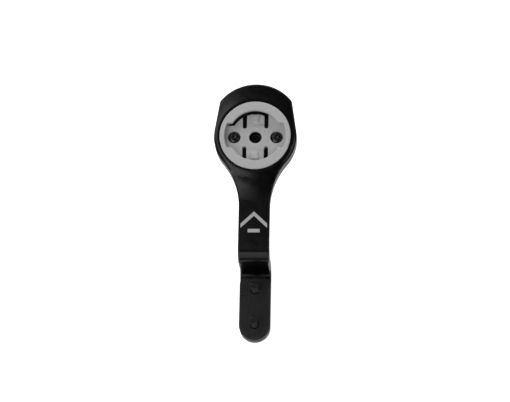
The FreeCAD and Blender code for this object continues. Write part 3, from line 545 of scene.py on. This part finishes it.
class Finish:
    """A material whose patterns are laid out in the object's own coordinates."""

    def __init__(self, name):
        self.material = bpy.data.materials.new(name)
        self.material.use_nodes = True
        self.tree = self.material.node_tree
        self.shader = self.tree.nodes["Principled BSDF"]
        self.place = self.tree.nodes.new("ShaderNodeTexCoord").outputs["Object"]

    def set(self, **sockets):
        """Set the shader's own sockets, named in lower case with low lines for spaces."""
        for label, value in sockets.items():
            wanted = label.replace("_", " ")
            socket = next(s for s in self.shader.inputs if s.name.lower() == wanted)
            socket.default_value = (*value, 1) if isinstance(value, tuple) else value

    def link(self, output, input_socket):
        self.tree.links.new(output, input_socket)

    def node(self, kind, settings=None, **sockets):
        node = self.tree.nodes.new(kind)
        for setting, value in (settings or {}).items():
            setattr(node, setting, value)
        for label, value in sockets.items():
            socket = node.inputs[label.replace("_", " ").title()]
            if isinstance(value, bpy.types.NodeSocket):
                self.link(value, socket)
            else:
                socket.default_value = value
        return node

    def math(self, operation, *values):
        node = self.tree.nodes.new("ShaderNodeMath")
        node.operation = operation
        for socket, value in zip(node.inputs, values):
            if isinstance(value, bpy.types.NodeSocket):
                self.link(value, socket)
            else:
                socket.default_value = value
        return node.outputs[0]

    def noise(self, grain, detail=2.0, roughness=0.5, place=None):
        """Noise whose grains are about that size in metres."""
        node = self.node(
            "ShaderNodeTexNoise",
            vector=place or self.place,
            scale=1 / grain,
            detail=detail,
            roughness=roughness,
        )
        return node.outputs["Fac"]

    def stretched(self, scale):
        """Coordinates drawn out along some axes."""
        return self.node("ShaderNodeMapping", vector=self.place, scale=scale).outputs[0]

    def between(self, amount, low, high, start=NOISE_LOW, end=NOISE_HIGH):
        """Map a range of noise, or of another amount, to a range of numbers."""
        node = self.node(
            "ShaderNodeMapRange",
            value=amount,
            from_min=start,
            from_max=end,
            to_min=low,
            to_max=high,
        )
        return node.outputs["Result"]

    def colour(self, amount, base, spread):
        """Vary the base colour by a share of itself."""
        mix = self.tree.nodes.new("ShaderNodeMix")
        mix.data_type = "RGBA"
        self.link(self.between(amount, 0.0, 1.0), mix.inputs["Factor"])
        for socket, sign in ((mix.inputs[6], -1), (mix.inputs[7], 1)):
            socket.default_value = (*(c * (1 + sign * spread) for c in base), 1)
        self.link(mix.outputs[2], self.shader.inputs["Base Color"])

    def roughness(self, amount, base, spread):
        """Vary the roughness about a middle value."""
        self.link(
            self.between(amount, base - spread, base + spread),
            self.shader.inputs["Roughness"],
        )

    def bump(self, height, depth, strength=1.0, under=None):
        """Fine relief; depth is in metres."""
        node = self.node("ShaderNodeBump", height=height, distance=depth, strength=strength)
        if under is not None:
            self.link(under, node.inputs["Normal"])
        self.link(node.outputs[0], self.shader.inputs["Normal"])
        return node.outputs[0]


# Turning marks: out to this far from the insert's axis, on faces this nearly level.
TURNED_REACH = 34 * MM
TURNED_FADE = 1 * MM
LEVEL_START = 0.93
LEVEL_FULL = 0.985


def anodised(finish):
    """Black hard anodising on turned and blasted aluminium."""
    f = Finish("black_anodised")
    f.set(ior=1.5)
    f.colour(f.noise(grain=1.4 * MM), finish.anodise, spread=0.2)
    f.roughness(f.noise(grain=3.5 * MM, detail=4), finish.anodise_rough, spread=0.03)
    place = f.node("ShaderNodeSeparateXYZ", vector=f.place)
    across = f.math("SUBTRACT", place.outputs[0], INSERT_MIDDLE.x)
    along = f.math("SUBTRACT", place.outputs[1], INSERT_MIDDLE.y)
    out = f.math("SQRT", f.math("ADD", f.math("POWER", across, 2), f.math("POWER", along, 2)))
    rings = f.node(
        "ShaderNodeTexNoise", {"noise_dimensions": "1D"}, w=out, scale=1 / (0.35 * MM), detail=3
    )
    facing = f.node("ShaderNodeNewGeometry")
    up = f.node("ShaderNodeSeparateXYZ", vector=facing.outputs["Normal"])
    level = f.between(up.outputs[2], 0, 1, start=LEVEL_START, end=LEVEL_FULL)
    on_head = f.between(out, 0, 1, start=TURNED_REACH, end=TURNED_REACH - TURNED_FADE)
    marks = f.math("MULTIPLY", level, on_head)
    turned = f.bump(f.math("MULTIPLY", rings.outputs["Fac"], marks), depth=0.02 * MM)
    f.bump(f.noise(grain=0.16 * MM, detail=3), depth=0.008 * MM, strength=0.8, under=turned)
    return f.material


def moulded_grey(finish):
    """Light grey glass-filled moulding with a fine spark-eroded skin."""
    f = Finish("grey_moulding")
    f.set(ior=1.5)
    f.colour(f.noise(grain=0.5 * MM, detail=5), finish.moulding, spread=0.06)
    f.roughness(f.noise(grain=1.2 * MM), finish.moulding_rough, spread=0.06)
    f.bump(f.noise(grain=0.12 * MM, detail=3), depth=0.01 * MM, strength=0.8)
    return f.material


def blackened_steel(finish):
    """Blackened steel with a thin film of oil."""
    f = Finish("black_oxide_steel")
    f.set(metallic=1.0)
    f.colour(f.noise(grain=0.9 * MM, detail=4), finish.steel, spread=0.3)
    f.roughness(f.noise(grain=0.4 * MM, detail=3), finish.steel_rough, spread=0.07)
    f.bump(f.noise(grain=0.1 * MM, detail=2), depth=0.004 * MM, strength=0.7)
    return f.material


def black_nylon(finish):
    """Black moulded nylon."""
    f = Finish("black_nylon")
    f.colour(f.noise(grain=0.8 * MM, detail=4), finish.nylon, spread=0.2)
    f.roughness(f.noise(grain=1.5 * MM), base=0.48, spread=0.06)
    f.bump(f.noise(grain=0.14 * MM, detail=3), depth=0.012 * MM, strength=0.8)
    return f.material


def black_rubber(finish):
    """Dull black rubber with a faint bloom."""
    f = Finish("black_rubber")
    f.colour(f.noise(grain=2.0 * MM, detail=5), finish.rubber, spread=0.35)
    f.roughness(f.noise(grain=1.0 * MM), base=0.78, spread=0.06)
    f.bump(f.noise(grain=0.25 * MM, detail=4), depth=0.02 * MM, strength=0.8)
    return f.material


def stainless(finish):
    """Stamped stainless sheet with the grain of its rolling."""
    f = Finish("stainless_washer")
    f.set(metallic=1.0)
    rolled = f.noise(grain=0.12 * MM, detail=3, place=f.stretched((1.0, 0.04, 1.0)))
    f.colour(f.noise(grain=1.5 * MM), finish.stainless, spread=0.08)
    f.roughness(rolled, base=0.3, spread=0.06)
    f.bump(rolled, depth=0.004 * MM, strength=0.7)
    return f.material


def printed_ink(finish):
    """Matt screen-printed ink with slightly uneven cover."""
    f = Finish("printed_ink")
    f.colour(f.noise(grain=0.35 * MM, detail=4), finish.ink, spread=0.08)
    f.roughness(f.noise(grain=0.6 * MM), base=0.55, spread=0.05)
    f.bump(f.noise(grain=0.1 * MM), depth=0.005 * MM, strength=0.7)
    return f.material


MAKERS = {
    "black_anodised": anodised,
    "grey_moulding": moulded_grey,
    "black_oxide_steel": blackened_steel,
    "black_nylon": black_nylon,
    "black_rubber": black_rubber,
    "stainless_washer": stainless,
    "printed_ink": printed_ink,
}
MADE = {}


def material_for(name):
    """The finish of that name, made once."""
    if name not in MADE:
        MADE[name] = MAKERS[name](bpy.context.scene.mount_finish)
    return MADE[name]


# Pieces


class BuildArm(bpy.types.Operator):
    """Finish the machined arm"""

    bl_idname = "mount.build_arm"
    bl_label = "Arm"

    def execute(self, context):
        sizes = context.scene.mount_sizes
        stand_in(
            "mount_arm",
            "machined_arm",
            "mount",
            material_for("black_anodised"),
            sizes.arm_edge,
        )
        return {"FINISHED"}


TICK_COUNT = 36
HUB_DEPTH = 3.5 * MM
HUB_FLOOR = INSERT_HIGH.z - HUB_DEPTH


class BuildInsert(bpy.types.Operator):
    """Finish the moulded insert and the ring of ticks round its hub"""

    bl_idname = "mount.build_insert"
    bl_label = "Insert"

    def execute(self, context):
        sizes = context.scene.mount_sizes
        plastic = material_for("grey_moulding")
        stand_in(
            "twist_lock_insert",
            "insert_moulding",
            "mount",
            plastic,
            sizes.insert_edge,
        )
        mesh = tick_mesh("hub_ticks", sizes, TICK_COUNT, plastic)
        centre = Vector((INSERT_MIDDLE.x, INSERT_MIDDLE.y, HUB_FLOOR))
        mesh.transform(Matrix.Translation(centre))
        ticks = new_piece("hub_ticks", mesh, plastic)
        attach(ticks, "mount")
        return {"FINISHED"}


# The root's distance from the insert's axis, and the length past it that bends.
TONGUE_ROOT = 5.775 * MM
BEND_LENGTH = 1.6 * MM
BEND_CUTS = 8


class BuildTongues(bpy.types.Operator):
    """Finish the two spring tongues, which bend at their roots"""

    bl_idname = "mount.build_tongues"
    bl_label = "Tongues"

    def execute(self, context):
        for side, body in ((1, "front_tongue"), (-1, "rear_tongue")):
            self.build(context, side, body)
        return {"FINISHED"}

    def build(self, context, side, body):
        node = f"detent_{'tongue_front' if side > 0 else 'tongue_rear'}"
        plastic = material_for("grey_moulding")
        root = INSERT_MIDDLE.y + side * TONGUE_ROOT
        low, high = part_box(node)
        cad_root = low.y if side > 0 else high.y
        bm = merged(node)
        for vertex in bm.verts:
            if abs(vertex.co.y - cad_root) < MERGE:
                vertex.co.y = root
        name = f"latch_{body}"
        mesh = round_edges(mesh_from(bm, name), context.scene.mount_sizes.small_edge, name)
        bm = bmesh.new()
        bm.from_mesh(mesh)
        for cut in range(1, BEND_CUTS):
            y = root + side * BEND_LENGTH * cut / BEND_CUTS
            bmesh.ops.bisect_plane(
                bm,
                geom=bm.verts[:] + bm.edges[:] + bm.faces[:],
                plane_co=(0, y, 0),
                plane_no=(0, 1, 0),
            )
        mesh = mesh_from(bm, name)
        piece = new_piece(name, mesh, plastic)
        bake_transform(piece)
        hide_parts(node)


# How far a head's cut end goes into its thread.
LAP = 0.02 * MM


def threaded(context, node, name, pitch, depth, crest, start, tip):
    """Replace a screw with its own head and neck and a real thread."""
    sizes = context.scene.mount_sizes
    steel = material_for("black_oxide_steel")
    middle = node_middle(node)
    up = 1 if tip > start else -1
    bm = merged(node)
    cut = bmesh.ops.bisect_plane(
        bm,
        geom=bm.verts[:] + bm.edges[:] + bm.faces[:],
        plane_co=(0, 0, start - up * LAP),
        plane_no=(0, 0, up),
        clear_outer=True,
    )
    rim = [e for e in cut["geom_cut"] if isinstance(e, bmesh.types.BMEdge)]
    bmesh.ops.contextual_create(bm, geom=rim)
    head = round_edges(mesh_from(bm, name), sizes.small_edge, name)
    thread = thread_mesh(
        f"{name}_thread", abs(tip - start), crest, pitch, depth, sizes.thread_lead, steel
    )
    turned = Matrix.Rotation(0 if up > 0 else math.pi, 4, "X")
    thread.transform(Matrix.Translation((middle.x, middle.y, start)) @ turned)
    bm = bmesh.new()
    bm.from_mesh(head)
    bm.from_mesh(thread)
    piece = new_piece(name, mesh_from(bm, name), steel)
    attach(piece, "mount")
    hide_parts(node)


# Outer radii of the M4 and M3 threads.
BOLT_CREST = 2.0 * MM
SCREW_CREST = 1.5 * MM


class BuildScrews(bpy.types.Operator):
    """Finish the two insert screws and the two foot bolts, with their threads"""

    bl_idname = "mount.build_screws"
    bl_label = "Screws and bolts"

    def execute(self, context):
        sizes = context.scene.mount_sizes
        for end in ("front", "rear"):
            node = f"foot_bolt_{end}"
            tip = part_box(node)[1].z
            threaded(
                context,
                node,
                f"button_head_bolt_{end}",
                sizes.bolt_pitch,
                sizes.bolt_depth,
                BOLT_CREST,
                SEAT,
                tip,
            )
        for side in ("left", "right"):
            node = f"insert_screw_{side}"
            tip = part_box(node)[0].z
            threaded(
                context,
                node,
                f"button_head_screw_{side}",
                sizes.screw_pitch,
                sizes.screw_depth,
                SCREW_CREST,
                INSERT_LOW.z,
                tip,
            )
        return {"FINISHED"}


class BuildWashers(bpy.types.Operator):
    """Finish the two washers under the bolt heads"""

    bl_idname = "mount.build_washers"
    bl_label = "Washers"

    def execute(self, context):
        for end in ("front", "rear"):
            stand_in(
                f"foot_washer_{end}",
                f"stamped_washer_{end}",
                "mount",
                material_for("stainless_washer"),
                context.scene.mount_sizes.small_edge,
            )
        return {"FINISHED"}


class BuildSpacer(bpy.types.Operator):
    """Finish the moulded spacer on the foot"""

    bl_idname = "mount.build_spacer"
    bl_label = "Spacer"

    def execute(self, context):
        stand_in(
            "foot_spacer",
            "moulded_spacer",
            "mount",
            material_for("black_nylon"),
            context.scene.mount_sizes.small_edge,
        )
        return {"FINISHED"}


# How far the pips' middles keep from the pad's edge and from a bolt's axis.
PIP_EDGE = 0.9 * MM
PIP_HOLE = 3.1 * MM


class BuildPad(bpy.types.Operator):
    """Finish the rubber pad, with rows of pips on its seat"""

    bl_idname = "mount.build_pad"
    bl_label = "Pad"

    def execute(self, context):
        sizes = context.scene.mount_sizes
        rubber = material_for("black_rubber")
        bolt = node_middle("foot_bolt_front").y
        bm = merged("seat_pad")
        for vertex in bm.verts:
            if abs(vertex.co.z - PAD_HIGH.z) < MERGE:
                vertex.co.z -= sizes.pip_height
        mesh = round_edges(mesh_from(bm, "rubber_pad"), sizes.small_edge, "rubber_pad")
        pips = pip_mesh("pad_pips", sizes, PIP_EDGE, PIP_HOLE, bolt, rubber)
        bm = bmesh.new()
        bm.from_mesh(mesh)
        bm.from_mesh(pips)
        piece = new_piece("rubber_pad", mesh_from(bm, "rubber_pad"), rubber)
        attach(piece, "mount")
        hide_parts("seat_pad")
        return {"FINISHED"}


# The blade's top below the insert's, and the mark behind the insert's axis.
BLADE_DROP = 4.4 * MM
MARK_BEHIND = 44.4 * MM
BLADE_TOP = INSERT_HIGH.z - BLADE_DROP
MARK_MIDDLE = INSERT_MIDDLE.y - MARK_BEHIND
INK_SINK = 0.005 * MM

# The mark's proportions, as shares of half its width.
CHEVRON_FOOT = -0.5
CHEVRON_TIP = 0.45
CHEVRON_STROKE = 0.34
DASH_HALF = 0.45
DASH_FOOT = -0.85
DASH_STROKE = 0.272


class BuildMark(bpy.types.Operator):
    """Print a plain direction mark on the arm"""

    bl_idname = "mount.build_mark"
    bl_label = "Printed mark"

    def execute(self, context):
        sizes = context.scene.mount_sizes
        ink = material_for("printed_ink")
        half = sizes.mark_width / 2
        low = BLADE_TOP - INK_SINK
        bm = bmesh.new()
        chevron = (
            (-1, CHEVRON_FOOT),
            (0, CHEVRON_TIP),
            (1, CHEVRON_FOOT),
            (1, CHEVRON_FOOT + CHEVRON_STROKE),
            (0, CHEVRON_TIP + CHEVRON_STROKE),
            (-1, CHEVRON_FOOT + CHEVRON_STROKE),
        )
        dash = (
            (-DASH_HALF, DASH_FOOT),
            (DASH_HALF, DASH_FOOT),
            (DASH_HALF, DASH_FOOT + DASH_STROKE),
            (-DASH_HALF, DASH_FOOT + DASH_STROKE),
        )
        for outline in (chevron, dash):
            points = [bm.verts.new((x * half, y * half + MARK_MIDDLE, low)) for x, y in outline]
            face = bm.faces.new(points)
            raised = bmesh.ops.extrude_face_region(bm, geom=[face])
            for item in raised["geom"]:
                if isinstance(item, bmesh.types.BMVert):
                    item.co.z = BLADE_TOP + sizes.mark_thick
        bmesh.ops.recalc_face_normals(bm, faces=bm.faces)
        piece = new_piece("direction_mark", mesh_from(bm, "direction_mark"), ink)
        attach(piece, "mount")
        return {"FINISHED"}


# Stage

FLOOR_REACH = 4.0
FLOOR_GAP = 0.1 * MM
AIM = Vector((0.03, 52.11, 13.07)) * MM
SENSOR = 36.0


# Where each lamp stands: azimuth from +X towards +Y, then elevation, in degrees.
LAMPS = {
    "right": (0, 42),
    "front": (90, 15),
    "front_left": (135, 42),
    "over_left": (180, 68),
    "rear_left": (225, 42),
    "rear": (270, 42),
}
LAMP_REACH = 0.8
LAMP_WIDE = 0.5
LAMP_HIGH = 0.4


def soft_box(name, azimuth, elevation, watts):
    """A rectangular soft lamp that looks at the mount."""
    around, up = math.radians(azimuth), math.radians(elevation)
    flat = math.cos(up)
    way = Vector((flat * math.cos(around), flat * math.sin(around), math.sin(up)))
    lamp = bpy.data.lights.new(name, "AREA")
    lamp.shape = "RECTANGLE"
    lamp.size = LAMP_WIDE
    lamp.size_y = LAMP_HIGH
    lamp.energy = watts
    holder = bpy.data.objects.new(name, lamp)
    holder.location = AIM + way * LAMP_REACH
    holder.rotation_euler = way.to_track_quat("Z", "Y").to_euler()
    bpy.context.scene.collection.objects.link(holder)


def pale_floor(glow):
    """A large pale sheet a hair under the mount."""
    bm = bmesh.new()
    bmesh.ops.create_grid(bm, x_segments=1, y_segments=1, size=FLOOR_REACH)
    mesh = mesh_from(bm, "floor")
    mesh.transform(Matrix.Translation((0, 0, CAD_BOX[0][2] - FLOOR_GAP)))
    f = Finish("pale_floor")
    f.set(base_color=(0.85, 0.85, 0.85), emission_color=(1, 1, 1), roughness=0.8)
    f.set(emission_strength=glow, specular_ior_level=0.0)
    floor = new_piece("floor", mesh, f.material)
    floor.visible_glossy = False


# Height as the sine of the elevation, then brightness.
SKY = (
    (-1.0, 0.6),
    (-0.2, 0.6),
    (-0.1, 0.04),
    (0.1, 0.03),
    (0.14, 0.35),
    (0.26, 0.35),
    (0.3, 0.85),
    (0.42, 0.85),
    (0.45, 0.03),
    (1.0, 0.02),
)
BACKDROP = 0.9


def studio_sky():
    """A soft surround, brightest low round the horizon, behind a pale backdrop."""
    world = bpy.data.worlds.new("Studio")
    world.use_nodes = True
    tree = world.node_tree
    tree.nodes.clear()
    place = tree.nodes.new("ShaderNodeTexCoord")
    split = tree.nodes.new("ShaderNodeSeparateXYZ")
    rise = tree.nodes.new("ShaderNodeMapRange")
    ramp = tree.nodes.new("ShaderNodeValToRGB")
    seen = tree.nodes.new("ShaderNodeLightPath")
    mix = tree.nodes.new("ShaderNodeMix")
    glow = tree.nodes.new("ShaderNodeBackground")
    out = tree.nodes.new("ShaderNodeOutputWorld")
    rise.inputs["From Min"].default_value = -1
    mix.inputs["B"].default_value = BACKDROP
    for output, socket in (
        (place.outputs["Generated"], split.inputs[0]),
        (split.outputs[2], rise.inputs["Value"]),
        (rise.outputs[0], ramp.inputs[0]),
        (seen.outputs["Is Camera Ray"], mix.inputs["Factor"]),
        (ramp.outputs[0], mix.inputs["A"]),
        (mix.outputs["Result"], glow.inputs[0]),
        (glow.outputs[0], out.inputs[0]),
    ):
        tree.links.new(output, socket)
    stops = ramp.color_ramp.elements
    while len(stops) < len(SKY):
        stops.new(0.5)
    for stop, (height, level) in zip(stops, SKY):
        stop.position = (height + 1) / 2
        stop.color = (level, level, level, 1)
    bpy.context.scene.world = world


class BuildStage(bpy.types.Operator):
    """Set the floor, the lamps and the camera"""

    bl_idname = "mount.build_stage"
    bl_label = "Stage"

    def execute(self, context):
        stage = context.scene.mount_stage
        pale_floor(stage.floor_glow)
        studio_sky()
        for name, place in LAMPS.items():
            soft_box(name, *place, getattr(stage, name))
        turn = Euler((stage.tilt, stage.lean, stage.twist))
        lens = bpy.data.cameras.new("camera")
        lens.sensor_width = SENSOR
        lens.lens = stage.lens
        lens.clip_end = FLOOR_REACH * 2
        camera = bpy.data.objects.new("camera", lens)
        camera.rotation_euler = turn
        camera.location = AIM + turn.to_matrix() @ Vector((0, 0, stage.distance))
        context.scene.collection.objects.link(camera)
        context.scene.camera = camera
        context.scene.view_settings.view_transform = "Standard"
        return {"FINISHED"}


STEPS = (
    BuildArm,
    BuildInsert,
    BuildTongues,
    BuildScrews,
    BuildWashers,
    BuildSpacer,
    BuildPad,
    BuildMark,
    BuildStage,
)


class MountPanel(bpy.types.Panel):
    """Lists the pieces of the mount and their sizes"""

    bl_idname = "VIEW3D_PT_mount"
    bl_label = "Bicycle Computer Mount"
    bl_space_type = "VIEW_3D"
    bl_region_type = "UI"
    bl_category = "Mount"

    def draw(self, context):
        scene = context.scene
        for title, group in (
            ("Sizes", scene.mount_sizes),
            ("Finish", scene.mount_finish),
            ("Stage", scene.mount_stage),
        ):
            box = self.layout.box()
            box.label(text=title)
            for label in group.__annotations__:
                box.prop(group, label)
        for step in STEPS:
            self.layout.operator(step.bl_idname)


GROUPS = {
    "mount_sizes": MountSizes,
    "mount_finish": MountFinish,
    "mount_stage": MountStage,
}
CLASSES = (*GROUPS.values(), *STEPS, MountPanel)


def register():
    for kind in CLASSES:
        bpy.utils.register_class(kind)
    for label, group in GROUPS.items():
        setattr(bpy.types.Scene, label, bpy.props.PointerProperty(type=group))


def unregister():
    for label in GROUPS:
        delattr(bpy.types.Scene, label)
    for kind in reversed(CLASSES):
        bpy.utils.unregister_class(kind)


def main():
    register()
    for step in STEPS:
        group, action = step.bl_idname.split(".")
        getattr(getattr(bpy.ops, group), action)()


if __name__ == "__main__":
    main()
